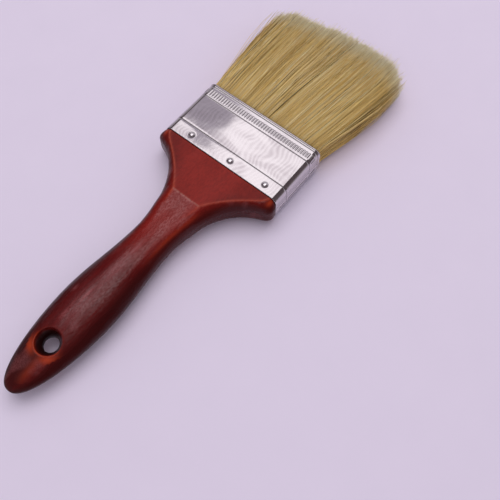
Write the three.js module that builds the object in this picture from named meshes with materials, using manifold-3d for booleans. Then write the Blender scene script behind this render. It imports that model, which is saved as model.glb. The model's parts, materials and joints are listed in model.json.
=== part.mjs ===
// Flat paint brush, 76 mm class: lacquered wooden handle, nickelled tinplate ferrule held by six
// nails, and three banks of natural bristle around two spacer plugs, set in resin.
//
// Millimetres, +Z up. The brush lies flat: +X points to the bristle tips, Y runs across the width
// and Z through the thickness. The origin is the middle of the footprint, at the lowest point.
// Inside the brush group x = 0 is the ferrule's handle-side edge and z = 0 the middle plane.

import * as THREE from "three";
import { mergeVertices } from "three/addons/utils/BufferGeometryUtils.js";
import Module from "manifold-3d";

const wasm = await Module();
wasm.setup();

// ---- Driving dimensions ------------------------------------------------------------------

const CLEARANCE = 0.3; // between neighbouring pieces
const OVERSHOOT = 2; // how far a cutter runs past the face it cuts

// Ferrule
const FERRULE_LENGTH = 39.5;
const FERRULE_HALF_WIDTH = 38.5;
const FERRULE_HALF_THICKNESS = 8.5;
const FERRULE_CORNER_RADIUS = 4;
const SHEET = 0.5;
const GROOVE_DEPTH = 0.2;
const GROOVE_WIDTH = 1.1;
const GROOVE_CENTRES = [9.2, 29.8, 37.2];
const LIP_HEIGHT = 0.25;
const LIP_START = 1.2; // before the mouth edge
const LIP_END = 0.5;
const EDGE_BREAK = 0.1; // how far both sheet edges are rounded in
const EDGE_BREAK_LENGTH = 0.3;
const LAP = { start: 0.8, end: 38, bottom: -4.2, top: -1.2, height: 0.35 };

// Handle
const HANDLE_REACH = 154;
const SHOULDER_GAP = 0.2;
const SHOULDER_START_HALF_WIDTH = 38.7;
const SHOULDER_HALF_WIDTH = 39.5;
const TAIL_HALF_THICKNESS = 8.4;
const TAIL_EDGE_HEIGHT = 5.5; // height of the round-over above and below the tail's straight side
const CREASE_X = -27.2;
const CREASE_HALF_WIDTH = 8.8;
const WAIST_X = -50;
const FACET_END_X = -58;
const WAIST_HALF_THICKNESS = 7.4;
const BELLY_X = -98;
const BELLY_HALF_THICKNESS = 9;
const BUTT_HALF_THICKNESS = 4.2;
const BUTT_ROUNDNESS = 8;
const TENON_LENGTH = 15;
const TENON_CHAMFER = 1;
const MIN_FLAT = 0.3;
const MIN_EDGE = 0.2;
const MIN_HALF_THICKNESS = 0.4; // at the very end of the butt
const OUTLINE_STEPS = [1, 2, 6, 12, 10, 14]; // along each stretch of the outline

// Hang hole, narrowest in the middle of the thickness
const HOLE_X = -126;
const HOLE_WAIST_RADIUS = 4.1;
const HOLE_WAIST_HALF_HEIGHT = 1.2;
const HOLE_RIM_RADIUS = 6.8;
const HOLE_RIM_Z = 5.9;
const HOLE_SIDES = 40;

// Nails
const NAIL_X = 4.2;
const NAIL_SIDEWAYS = [-27.5, -3.8, 23.4];
const NAIL_HEAD_RADIUS = 1.8;
const NAIL_HEAD_HEIGHT = 0.75;
const NAIL_HEAD_GAP = 0.05;
const NAIL_SHANK_RADIUS = 0.65;
const NAIL_LENGTH = 9.5;
const NAIL_POINT = 1.6;
const NAIL_SIDES = 16;
const NAIL_DOME_STEPS = 3;

// Resin setting, spacer plugs and bristle
const SETTING_END = 22.7;
const PLUG_START = 19;
const ROOT_END = 31.3;
const PLUG_INNER = 2;
const PLUG_OUTER = 4.1;
const PLUG_HALF_WIDTH = 35;
const HEEL_RADIUS = 7.4;
const HEEL_ANGLE = Math.PI / 3; // from the brush's axis to where the heel's flank leaves the circle
const FREE_LENGTH = 82.5;
const FREE_HALF_THICKNESS = 8.2;
const FREE_BULGE_HALF_THICKNESS = 8.5;
const FREE_TIP_HALF_THICKNESS = 6;
const FREE_TAPER_LENGTH = 22;
const BULGE_AT = 26;
const BANKS_MEET_AT = 30;
const BANK_EDGE_MET = 2.55;
const BANK_EDGE_TIP = 1.85;
const BRISTLE_ROOT_HALF_WIDTH = 36.2;
const STRAIGHT_LENGTH = 5; // of bristle outside the mouth, before the flare
const STRAIGHT_HALF_WIDTH = 36.6;
const FLARE_PULL = { past: 24, halfWidth: 40.8 }; // where the flare's curve is drawn to, past the mouth
const FLARE_EASE = 40; // past the mouth, where the flare starts to straighten
const BRISTLE_TIP_HALF_WIDTH = 44.5;
const TIP_DOME = 4;
const TIP_CORNER = 9;

const CAVITY_INSET = SHEET + CLEARANCE;
const REACH = FERRULE_LENGTH + FREE_LENGTH;
const REST_HEIGHT = FERRULE_HALF_THICKNESS + NAIL_HEAD_GAP + NAIL_HEAD_HEIGHT;

// ---- Materials ---------------------------------------------------------------------------

const finish = (color, roughness, metalness) =>
  new THREE.MeshStandardMaterial({ color, roughness, metalness });

const lacqueredWood = finish(0x7a241c, 0.28, 0);
const nickel = finish(0xd9d8de, 0.16, 1);
const nailSteel = finish(0xc4c3c8, 0.25, 1);
const resin = finish(0x8a6a35, 0.35, 0);
const plugWood = finish(0xc9a877, 0.8, 0);
const bristle = finish(0xb2975c, 0.75, 0);

// ---- Solids ------------------------------------------------------------------------------

function toSolid(geometry) {
  const bare = geometry.clone();
  bare.deleteAttribute("normal");
  bare.deleteAttribute("uv");
  const merged = mergeVertices(bare, 1e-5);
  return new wasm.Manifold(
    new wasm.Mesh({
      numProp: 3,
      vertProperties: new Float32Array(merged.attributes.position.array),
      triVerts: new Uint32Array(merged.index.array),
    }),
  );
}

function toGeometry(solid) {
  const mesh = solid.getMesh();
  const geometry = new THREE.BufferGeometry();
  const positions = new Float32Array(mesh.vertProperties);
  geometry.setAttribute("position", new THREE.BufferAttribute(positions, 3));
  geometry.setIndex(new THREE.BufferAttribute(new Uint32Array(mesh.triVerts), 1));
  geometry.computeVertexNormals();
  return geometry;
}

const cut = (body, tools) =>
  toGeometry(tools.reduce((solid, tool) => solid.subtract(toSolid(tool)), toSolid(body)));
const join = (body, extra) => toGeometry(toSolid(body).add(toSolid(extra)));
const common = (a, b) => toGeometry(toSolid(a).intersect(toSolid(b)));

const ordered = (a, b) => [Math.min(a, b), Math.max(a, b)];

function box(x, y, z) {
  const geometry = new THREE.BoxGeometry(x[1] - x[0], y[1] - y[0], z[1] - z[0]);
  return geometry.translate((x[0] + x[1]) / 2, (y[0] + y[1]) / 2, (z[0] + z[1]) / 2);
}

// Rings of equal point count, joined in order; a ring runs counter-clockwise seen from +X.
function skin(rings, closeEnds) {
  const count = rings[0].length;
  const positions = rings.flat().flatMap((point) => [point.x, point.y, point.z]);
  const index = [];
  const steps = closeEnds ? rings.length - 1 : rings.length;
  for (let i = 0; i < steps; i += 1) {
    const here = i * count;
    const next = ((i + 1) % rings.length) * count;
    for (let j = 0; j < count; j += 1) {
      const k = (j + 1) % count;
      index.push(here + j, here + k, next + k, here + j, next + k, next + j);
    }
  }
  if (closeEnds) {
    const last = (rings.length - 1) * count;
    for (let j = 1; j < count - 1; j += 1) {
      index.push(0, j + 1, j);
      index.push(last, last + j, last + j + 1);
    }
  }
  const geometry = new THREE.BufferGeometry();
  geometry.setAttribute("position", new THREE.Float32BufferAttribute(positions, 3));
  geometry.setIndex(index);
  geometry.computeVertexNormals();
  return geometry;
}

// A rectangle across the brush whose corners are quarter ellipses, as one ring at x.
function crossSection(x, halfWidth, halfThickness, roundY, roundZ, steps = 7) {
  const ring = [];
  for (let quarter = 0; quarter < 4; quarter += 1) {
    const signY = quarter === 0 || quarter === 3 ? 1 : -1;
    const signZ = quarter < 2 ? 1 : -1;
    for (let i = 0; i <= steps; i += 1) {
      const angle = ((quarter + i / steps) * Math.PI) / 2;
      const y = signY * (halfWidth - roundY) + roundY * Math.cos(angle);
      const z = signZ * (halfThickness - roundZ) + roundZ * Math.sin(angle);
      ring.push(new THREE.Vector3(x, y, z));
    }
  }
  return ring;
}

// The ferrule's section, drawn in by an inset.
const ferruleSection = (x, inset) =>
  crossSection(
    x,
    FERRULE_HALF_WIDTH - inset,
    FERRULE_HALF_THICKNESS - inset,
    FERRULE_CORNER_RADIUS - inset,
    FERRULE_CORNER_RADIUS - inset,
  );

const block = (start, end, inset) =>
  skin([ferruleSection(start, inset), ferruleSection(end, inset)], true);

function turned(profile, segments) {
  const points = profile.map(([radius, height]) => new THREE.Vector2(radius, height));
  return new THREE.LatheGeometry(points, segments).rotateX(Math.PI / 2);
}

// ---- Handle ------------------------------------------------------------------------------

const ease = (t) => t * t * (3 - 2 * t);
const between = (x, x0, x1, v0, v1) =>
  v0 + (v1 - v0) * ease(THREE.MathUtils.clamp((x - x0) / (x1 - x0), 0, 1));

function handleHalfThickness(x) {
  if (x > CREASE_X) {
    return TAIL_HALF_THICKNESS;
  }
  if (x > WAIST_X) {
    const t = (CREASE_X - x) / (CREASE_X - WAIST_X);
    const drop = TAIL_HALF_THICKNESS - WAIST_HALF_THICKNESS;
    return TAIL_HALF_THICKNESS - drop * Math.sin((t * Math.PI) / 2);
  }
  if (x > BELLY_X) {
    return between(x, WAIST_X, BELLY_X, WAIST_HALF_THICKNESS, BELLY_HALF_THICKNESS);
  }
  const t = (BELLY_X - x) / (HANDLE_REACH + BELLY_X);
  const taper = between(x, BELLY_X, -HANDLE_REACH, BELLY_HALF_THICKNESS, BUTT_HALF_THICKNESS);
  return taper * Math.sqrt(Math.max(0, 1 - t ** BUTT_ROUNDNESS));
}

const panelEdge = new THREE.CubicBezierCurve(
  new THREE.Vector2(0, FERRULE_HALF_WIDTH - FERRULE_CORNER_RADIUS),
  new THREE.Vector2(-5.5, FERRULE_HALF_WIDTH - FERRULE_CORNER_RADIUS),
  new THREE.Vector2(-9, 21),
  new THREE.Vector2(CREASE_X, CREASE_HALF_WIDTH),
);

// The height of a curve whose x falls steadily, at a given x.
function curveAt(curve, x) {
  let low = 0;
  let high = 1;
  for (let i = 0; i < 30; i += 1) {
    const middle = (low + high) / 2;
    if (curve.getPoint(middle).x > x) {
      low = middle;
    } else {
      high = middle;
    }
  }
  return curve.getPoint(low).y;
}

// Half the width of the flat on top: the tail's panel down to the crease, then a dying facet.
function flatHalfWidth(x, halfWidth) {
  if (x > CREASE_X) {
    return curveAt(panelEdge, x);
  }
  return between(x, CREASE_X, FACET_END_X, CREASE_HALF_WIDTH, Math.min(MIN_FLAT, halfWidth / 4));
}

// The side is straight between two round-overs at the ferrule and fully round from the waist on.
function edgeHeight(x, halfThickness) {
  const full = halfThickness - Math.min(MIN_FLAT, halfThickness / 4);
  return between(x, 0, WAIST_X, TAIL_EDGE_HEIGHT, full);
}

// Half outline from the ferrule to the butt, as points (x, half width).
function handleOutline() {
  const path = new THREE.Path();
  path.moveTo(-SHOULDER_GAP, SHOULDER_START_HALF_WIDTH);
  path.lineTo(-1.5, SHOULDER_HALF_WIDTH - 0.3);
  path.quadraticCurveTo(-2.6, SHOULDER_HALF_WIDTH, -3.6, SHOULDER_HALF_WIDTH);
  path.quadraticCurveTo(-6.2, SHOULDER_HALF_WIDTH, -7.4, 36);
  path.bezierCurveTo(-12.6, 21, -27, 12.6, -52, 11.3);
  path.bezierCurveTo(-70, 11.4, -82, 15.4, -102, 15.4);
  path.bezierCurveTo(-122, 15.4, -HANDLE_REACH, 10.8, -HANDLE_REACH, 0.4);
  return path.curves.flatMap((curve, i) => {
    const points = curve.getPoints(OUTLINE_STEPS[i]);
    return i === 0 ? points : points.slice(1);
  });
}

function handleBody() {
  const rings = handleOutline()
    .map(({ x, y: halfWidth }) => {
      const halfThickness = Math.max(handleHalfThickness(x), MIN_HALF_THICKNESS);
      const edgeWidth = halfWidth - Math.min(flatHalfWidth(x, halfWidth), halfWidth - MIN_EDGE);
      return crossSection(x, halfWidth, halfThickness, edgeWidth, edgeHeight(x, halfThickness));
    })
    .reverse();
  const tenon = (x, inset) => ferruleSection(x, CAVITY_INSET + inset);
  rings.push(tenon(-SHOULDER_GAP, 0));
  rings.push(tenon(TENON_LENGTH - TENON_CHAMFER, 0));
  rings.push(tenon(TENON_LENGTH, TENON_CHAMFER));
  return skin(rings, true);
}

function hangHoleCutter() {
  const slope = (HOLE_RIM_RADIUS - HOLE_WAIST_RADIUS) / (HOLE_RIM_Z - HOLE_WAIST_HALF_HEIGHT);
  const top = BELLY_HALF_THICKNESS + OVERSHOOT;
  const mouth = HOLE_RIM_RADIUS + slope * (top - HOLE_RIM_Z);
  const profile = [
    [0, -top],
    [mouth, -top],
    [HOLE_WAIST_RADIUS, -HOLE_WAIST_HALF_HEIGHT],
    [HOLE_WAIST_RADIUS, HOLE_WAIST_HALF_HEIGHT],
    [mouth, top],
    [0, top],
  ];
  return turned(profile, HOLE_SIDES).translate(HOLE_X, 0, 0);
}

// ---- Nails -------------------------------------------------------------------------------

// Front nails point down, back nails up and sit on the mirrored side, so that they miss each other.
const NAILS = ["front", "back"].flatMap((side) =>
  NAIL_SIDEWAYS.map((y, i) => ({
    name: `nail_${side}_${i + 1}`,
    y: side === "front" ? y : -y,
    up: side === "front",
  })),
);

function nailGeometry() {
  const dome = [];
  for (let i = 0; i < NAIL_DOME_STEPS; i += 1) {
    const angle = (i / NAIL_DOME_STEPS) * (Math.PI / 2);
    dome.push([NAIL_HEAD_RADIUS * Math.cos(angle), NAIL_HEAD_HEIGHT * Math.sin(angle)]);
  }
  const profile = [
    [0, -NAIL_LENGTH],
    [NAIL_SHANK_RADIUS, NAIL_POINT - NAIL_LENGTH],
    [NAIL_SHANK_RADIUS, 0],
    ...dome,
    [0, NAIL_HEAD_HEIGHT],
  ];
  return turned(profile, NAIL_SIDES);
}

function pilotHole({ y, up }) {
  const reach = NAIL_LENGTH + CLEARANCE - NAIL_HEAD_GAP;
  const deep = FERRULE_HALF_THICKNESS - reach;
  const hole = new THREE.CylinderGeometry(
    NAIL_SHANK_RADIUS + CLEARANCE,
    NAIL_SHANK_RADIUS + CLEARANCE,
    reach + OVERSHOOT,
    NAIL_SIDES,
  );
  const middle = (FERRULE_HALF_THICKNESS + OVERSHOOT + deep) / 2;
  return hole.rotateX(Math.PI / 2).translate(NAIL_X, y, up ? middle : -middle);
}

// ---- Ferrule -----------------------------------------------------------------------------

function ferruleGeometry() {
  const outside = [[0, EDGE_BREAK], [EDGE_BREAK_LENGTH, 0]];
  for (const centre of GROOVE_CENTRES) {
    outside.push([centre - GROOVE_WIDTH / 2, 0]);
    outside.push([centre - GROOVE_WIDTH / 4, GROOVE_DEPTH]);
    outside.push([centre + GROOVE_WIDTH / 4, GROOVE_DEPTH]);
    outside.push([centre + GROOVE_WIDTH / 2, 0]);
  }
  outside.push([FERRULE_LENGTH - LIP_START, -LIP_HEIGHT]);
  outside.push([FERRULE_LENGTH - LIP_END, -LIP_HEIGHT]);
  outside.push([FERRULE_LENGTH, EDGE_BREAK]);
  const inside = [[FERRULE_LENGTH, SHEET], [0, SHEET]];
  const rings = [...outside, ...inside].map(([x, inset]) => ferruleSection(x, inset));
  const lap = box(
    [LAP.start, LAP.end],
    [-FERRULE_HALF_WIDTH - LAP.height, -FERRULE_HALF_WIDTH + SHEET / 2],
    [LAP.bottom, LAP.top],
  );
  return join(skin(rings, false), lap);
}

// ---- Bristle -----------------------------------------------------------------------------

const HALF_PACK = FERRULE_HALF_THICKNESS - CAVITY_INSET;
const FAR = 4 * FERRULE_HALF_THICKNESS; // beyond every face of the pack
const BANKS = [
  { name: "front", side: 1 },
  { name: "middle", side: 0 },
  { name: "back", side: -1 },
];

// Extrudes a side view, given as points (x, z), across the whole width.
function acrossWidth(points) {
  const shape = new THREE.Shape(points.map(([x, z]) => new THREE.Vector2(x, z)));
  const depth = 2 * (BRISTLE_TIP_HALF_WIDTH + OVERSHOOT);
  const solid = new THREE.ExtrudeGeometry(shape, { depth, bevelEnabled: false });
  return solid.rotateX(Math.PI / 2).translate(0, depth / 2, 0);
}

// Side view of the space one bank fills: banks stand apart at the plugs and close up beyond them.
function bankSpace(side) {
  const start = ROOT_END - OVERSHOOT;
  const meet = FERRULE_LENGTH + BANKS_MEET_AT;
  const end = REACH + OVERSHOOT;
  if (side === 0) {
    const upper = [
      [end, BANK_EDGE_TIP],
      [meet, BANK_EDGE_MET],
      [start, PLUG_INNER - CLEARANCE],
    ];
    return acrossWidth([...upper.map(([x, z]) => [x, -z]).reverse(), ...upper]);
  }
  const face = [
    [start, PLUG_OUTER + CLEARANCE],
    [meet, BANK_EDGE_MET + CLEARANCE],
    [end, BANK_EDGE_TIP + CLEARANCE],
  ];
  const points = [...face, [end, FAR], [start, FAR]];
  return acrossWidth(side > 0 ? points : points.map(([x, z]) => [x, -z]).reverse());
}

// Side view of the free pack: a round heel about the hinge axis, cut back so that it clears the
// ferrule's lip at the full swing, then a slight bulge and a taper to the tips.
function packSideView() {
  const heel = [];
  const steps = 18;
  for (let i = 0; i <= steps; i += 1) {
    const angle = HEEL_ANGLE + (i / steps) * 2 * (Math.PI - HEEL_ANGLE);
    heel.push([FERRULE_LENGTH + HEEL_RADIUS * Math.cos(angle), HEEL_RADIUS * Math.sin(angle)]);
  }
  const upper = [
    [REACH, FREE_TIP_HALF_THICKNESS],
    [REACH - FREE_TAPER_LENGTH, (FREE_TIP_HALF_THICKNESS + FREE_BULGE_HALF_THICKNESS) / 2],
    [FERRULE_LENGTH + BULGE_AT, FREE_BULGE_HALF_THICKNESS],
    [FERRULE_LENGTH + FREE_HALF_THICKNESS / Math.tan(HEEL_ANGLE), FREE_HALF_THICKNESS],
  ];
  return [...heel, ...upper.map(([x, z]) => [x, -z]).reverse(), ...upper];
}

// A point of the domed trim, which drops by half the dome's height at the start of its corners.
function domePoint(y) {
  const share = y / (BRISTLE_TIP_HALF_WIDTH - TIP_CORNER);
  return new THREE.Vector2(REACH - (TIP_DOME / 2) * share ** 2, y);
}

// The free pack from above: straight out of the ferrule, flaring, with a domed trim.
function packPlan() {
  const half = [
    [FERRULE_LENGTH - HEEL_RADIUS - OVERSHOOT, BRISTLE_ROOT_HALF_WIDTH],
    [FERRULE_LENGTH + STRAIGHT_LENGTH, STRAIGHT_HALF_WIDTH],
  ];
  const flare = new THREE.CubicBezierCurve(
    new THREE.Vector2(...half[1]),
    new THREE.Vector2(FERRULE_LENGTH + FLARE_PULL.past, FLARE_PULL.halfWidth),
    new THREE.Vector2(FERRULE_LENGTH + FLARE_EASE, BRISTLE_TIP_HALF_WIDTH),
    new THREE.Vector2(REACH - TIP_DOME - TIP_CORNER, BRISTLE_TIP_HALF_WIDTH),
  );
  const corner = new THREE.QuadraticBezierCurve(
    new THREE.Vector2(REACH - TIP_DOME - TIP_CORNER, BRISTLE_TIP_HALF_WIDTH),
    new THREE.Vector2(REACH - TIP_DOME, BRISTLE_TIP_HALF_WIDTH),
    domePoint(BRISTLE_TIP_HALF_WIDTH - TIP_CORNER),
  );
  const left = [
    new THREE.Vector2(...half[0]),
    ...flare.getPoints(10),
    ...corner.getPoints(5).slice(1),
    domePoint((BRISTLE_TIP_HALF_WIDTH - TIP_CORNER) / 2),
  ];
  const right = left.map((point) => new THREE.Vector2(point.x, -point.y));
  const outline = new THREE.Shape([...right, domePoint(0), ...left.reverse()]);
  const solid = new THREE.ExtrudeGeometry(outline, { depth: 2 * FAR, bevelEnabled: false });
  return solid.translate(0, 0, -FAR);
}

const freePack = common(acrossWidth(packSideView()), packPlan());
const freeBank = ({ side }) => common(freePack, bankSpace(side));

function rootBank({ side }) {
  const space =
    side === 0
      ? [CLEARANCE - PLUG_INNER, PLUG_INNER - CLEARANCE]
      : ordered((PLUG_OUTER + CLEARANCE) * side, FAR * side);
  const filled = block(SETTING_END + CLEARANCE, ROOT_END, CAVITY_INSET);
  return common(filled, box([0, REACH], [-FAR * 2, FAR * 2], space));
}

// ---- Plugs and setting -------------------------------------------------------------------

function plugGeometry(side) {
  const z = ordered(PLUG_INNER * side, PLUG_OUTER * side);
  return box([PLUG_START, ROOT_END], [-PLUG_HALF_WIDTH, PLUG_HALF_WIDTH], z);
}

function settingGeometry() {
  const half = PLUG_HALF_WIDTH + CLEARANCE;
  const pockets = [1, -1].map((side) => {
    const z = ordered((PLUG_INNER - CLEARANCE) * side, (PLUG_OUTER + CLEARANCE) * side);
    return box([PLUG_START - CLEARANCE, SETTING_END + OVERSHOOT], [-half, half], z);
  });
  return cut(block(TENON_LENGTH + CLEARANCE, SETTING_END, CAVITY_INSET), pockets);
}

// ---- Assembly ----------------------------------------------------------------------------

const brush = new THREE.Group();
brush.position.set((HANDLE_REACH - REACH) / 2, 0, REST_HEIGHT);

function add(name, geometry, material) {
  const mesh = new THREE.Mesh(geometry, material);
  mesh.name = name;
  brush.add(mesh);
  return mesh;
}

const pilotHoles = NAILS.map(pilotHole);
add("handle", cut(handleBody(), [hangHoleCutter(), ...pilotHoles]), lacqueredWood);
add("ferrule", cut(ferruleGeometry(), pilotHoles), nickel);

for (const nail of NAILS) {
  const mesh = add(nail.name, nailGeometry(), nailSteel);
  const height = FERRULE_HALF_THICKNESS + NAIL_HEAD_GAP;
  mesh.position.set(NAIL_X, nail.y, nail.up ? height : -height);
  mesh.rotation.x = nail.up ? 0 : Math.PI;
}

add("resin_setting", settingGeometry(), resin);
add("spacer_plug_front", plugGeometry(1), plugWood);
add("spacer_plug_back", plugGeometry(-1), plugWood);

for (const bank of BANKS) {
  add(`bristle_roots_${bank.name}`, rootBank(bank), bristle);
  add(`bristle_bank_${bank.name}`, freeBank(bank), bristle);
}

export default brush;
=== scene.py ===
"""Looks of the flat paint brush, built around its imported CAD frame.

Shapes are worked out in local millimetres, as the CAD does: x = 0 at the ferrule's handle-side
edge with +X to the bristle tips, y across the width and z = 0 on the middle plane. place() turns
them into metres in the row frame.
"""

import json
import math

import bpy
import numpy as np
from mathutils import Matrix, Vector


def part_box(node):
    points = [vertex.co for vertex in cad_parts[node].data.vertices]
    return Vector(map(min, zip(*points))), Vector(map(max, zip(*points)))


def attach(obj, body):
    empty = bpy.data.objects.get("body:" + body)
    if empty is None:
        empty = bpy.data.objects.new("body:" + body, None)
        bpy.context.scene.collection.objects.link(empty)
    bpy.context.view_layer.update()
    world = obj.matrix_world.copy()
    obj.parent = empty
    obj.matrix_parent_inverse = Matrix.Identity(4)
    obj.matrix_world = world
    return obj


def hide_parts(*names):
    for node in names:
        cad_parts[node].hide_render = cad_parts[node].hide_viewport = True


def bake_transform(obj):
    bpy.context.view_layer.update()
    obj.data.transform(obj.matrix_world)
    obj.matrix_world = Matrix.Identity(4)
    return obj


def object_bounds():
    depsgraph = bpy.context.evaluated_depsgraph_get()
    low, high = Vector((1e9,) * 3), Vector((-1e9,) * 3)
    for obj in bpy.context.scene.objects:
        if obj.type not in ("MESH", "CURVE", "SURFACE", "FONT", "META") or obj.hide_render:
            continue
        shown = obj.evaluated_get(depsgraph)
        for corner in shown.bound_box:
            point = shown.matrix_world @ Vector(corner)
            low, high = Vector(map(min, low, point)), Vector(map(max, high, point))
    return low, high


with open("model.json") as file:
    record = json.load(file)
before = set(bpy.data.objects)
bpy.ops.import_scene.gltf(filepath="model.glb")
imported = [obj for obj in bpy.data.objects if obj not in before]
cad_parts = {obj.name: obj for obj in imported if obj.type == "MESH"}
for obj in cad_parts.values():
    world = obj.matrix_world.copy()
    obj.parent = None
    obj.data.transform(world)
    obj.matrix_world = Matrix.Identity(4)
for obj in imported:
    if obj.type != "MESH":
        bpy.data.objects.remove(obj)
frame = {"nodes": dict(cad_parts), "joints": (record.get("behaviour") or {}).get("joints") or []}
cad_low, cad_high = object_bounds()

# ---- Driving dimensions, in local millimetres ----

MM = 0.001
BODY = "brush_body"
hinge = Vector(frame["joints"][0]["pos_m"])
ferrule_low, ferrule_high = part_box("ferrule")
handle_low, handle_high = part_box("handle")

LIP_HEIGHT = 0.25
FERRULE_LENGTH = (hinge.x - ferrule_low.x) / MM
FERRULE_HALF_WIDTH = ferrule_high.y / MM - LIP_HEIGHT
FERRULE_HALF_THICKNESS = (ferrule_high.z - hinge.z) / MM - LIP_HEIGHT
FERRULE_CORNER_RADIUS = 4
SHEET = 0.5
CAVITY_INSET = 0.8

HANDLE_REACH = (ferrule_low.x - handle_low.x) / MM
SHOULDER_GAP = 0.2
SHOULDER_START_HALF_WIDTH = 38.7
SHOULDER_HALF_WIDTH = handle_high.y / MM
TAIL_HALF_THICKNESS = 8.4
TAIL_EDGE_HEIGHT = 5.5
CREASE_X = -27.2
CREASE_HALF_WIDTH = 8.8
WAIST_X = -50
WAIST_HALF_THICKNESS = 7.4
FACET_END_X = -58
BELLY_X = -98
BELLY_HALF_THICKNESS = 9
BUTT_HALF_THICKNESS = 4.2
BUTT_ROUNDNESS = 8
TENON_LENGTH = 15
TENON_CHAMFER = 1
MIN_FLAT = 0.3

HOLE_X = -126
HOLE_WAIST_RADIUS = 4.1
HOLE_WAIST_HALF_HEIGHT = 1.2
HOLE_RIM_RADIUS = 6.8
HOLE_RIM_ROUNDING = 0.7

NAIL_COLUMNS = 48
NAIL_HEAD_RADIUS = 1.8
NAIL_HEAD_HEIGHT = 0.75
NAIL_RIM_HEIGHT = 0.1
NAIL_HEAD_GAP = 0.05
NAIL_SHANK_RADIUS = 0.65
NAIL_LENGTH = 9.5
NAIL_POINT = 1.6


ORIGIN = np.array([ferrule_low.x, 0, hinge.z])  # of the local millimetres, in the row frame


def place(points):
    """Local millimetres to metres in the row frame."""
    return np.asarray(points) * MM + ORIGIN


def unplace(points):
    """Metres in the row frame to local millimetres."""
    return (np.asarray(points) - ORIGIN) / MM


# ---- Curves and meshes ----


def ease(t):
    """0 to 1 with a smooth start and end, as t goes from 0 to 1."""
    t = np.clip(t, 0, 1)
    return t * t * (3 - 2 * t)


def between(x, x0, x1, v0=0, v1=1):
    """v0 eased to v1 as x goes from x0 to x1."""
    return v0 + (v1 - v0) * ease((x - x0) / (x1 - x0))


def bell(value, middle, width):
    """1 at the middle, fading out smoothly to both sides."""
    return np.exp(-(((value - middle) / width) ** 2))


def bezier(points, steps):
    """Points along a line, quadratic or cubic curve, by its control points."""
    t = np.linspace(0, 1, steps + 1)[:, None]
    rows = [np.array(point, float) for point in points]
    while len(rows) > 1:
        rows = [a * (1 - t) + b * t for a, b in zip(rows, rows[1:])]
    return rows[0]


def full_ring(quarter):
    """A quarter section, rows from the +Y side up to the top middle, mirrored into a whole ring."""
    mirrored = quarter[:0:-1]
    flips = [(quarter[:-1], 1, 1), (mirrored, -1, 1), (quarter[:-1], -1, -1), (mirrored, 1, -1)]
    return np.concatenate([part * np.array([y, z]) for part, y, z in flips])


def lathe_faces(rings, columns, closed):
    """Quads between rings of points, which run counter-clockwise seen from the next ring."""
    here = np.arange(rings if closed else rings - 1)[:, None] * columns
    there = (here + columns) % (rings * columns)
    j = np.arange(columns)
    k = (j + 1) % columns
    return np.stack([here + j, here + k, there + k, there + j], axis=-1).reshape(-1, 4)


def end_caps(rings, columns):
    """Fans that close both ends of a loft with one middle point each, added after its points."""
    j = np.arange(columns)
    k = (j + 1) % columns
    last = (rings - 1) * columns
    middle = np.full(columns, rings * columns)
    return np.concatenate([
        np.column_stack([middle, k, j]),
        np.column_stack([middle + 1, last + j, last + k]),
    ])


def add_object(name, data):
    made = bpy.data.objects.new(name, data)
    bpy.context.scene.collection.objects.link(made)
    return made


def new_piece(name, points, quads, triangles=()):
    """A smooth-shaded mesh object from local millimetres."""
    quads = np.asarray(quads, int).reshape(-1, 4)
    triangles = np.asarray(triangles, int).reshape(-1, 3)
    corners = np.concatenate([quads.ravel(), triangles.ravel()])
    starts = np.concatenate([np.arange(len(quads)) * 4, quads.size + np.arange(len(triangles)) * 3])
    mesh = bpy.data.meshes.new(name)
    mesh.vertices.add(len(points))
    mesh.vertices.foreach_set("co", place(points).astype(np.float32).ravel())
    mesh.loops.add(len(corners))
    mesh.loops.foreach_set("vertex_index", corners.astype(np.int32))
    mesh.polygons.add(len(starts))
    mesh.polygons.foreach_set("loop_start", starts.astype(np.int32))
    mesh.update(calc_edges=True)
    mesh.validate()
    mesh.shade_smooth()
    return add_object(name, mesh)


def loft(name, rings):
    """A closed piece skinned over rings of local points, with a cap at each end."""
    rings = np.asarray(rings)
    count, columns = rings.shape[:2]
    middles = rings[[0, -1]].mean(axis=1)
    points = np.concatenate([rings.reshape(-1, 3), middles])
    return new_piece(name, points, lathe_faces(count, columns, False), end_caps(count, columns))


def local_points(piece):
    points = np.zeros(len(piece.data.vertices) * 3, np.float32)
    piece.data.vertices.foreach_get("co", points)
    return unplace(points.reshape(-1, 3))


def set_attribute(piece, name, values):
    attribute = piece.data.attributes.new(name, "FLOAT", "POINT")
    attribute.data.foreach_set("value", np.asarray(values, np.float32))


# ---- Materials ----


def srgb(red, green, blue):
    """A screen colour, 0 to 255, as linear RGBA."""
    linear = [((v / 255 + 0.055) / 1.055) ** 2.4 if v > 10 else v / 255 / 12.92 for v in (red, green, blue)]
    return (*linear, 1)


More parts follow.
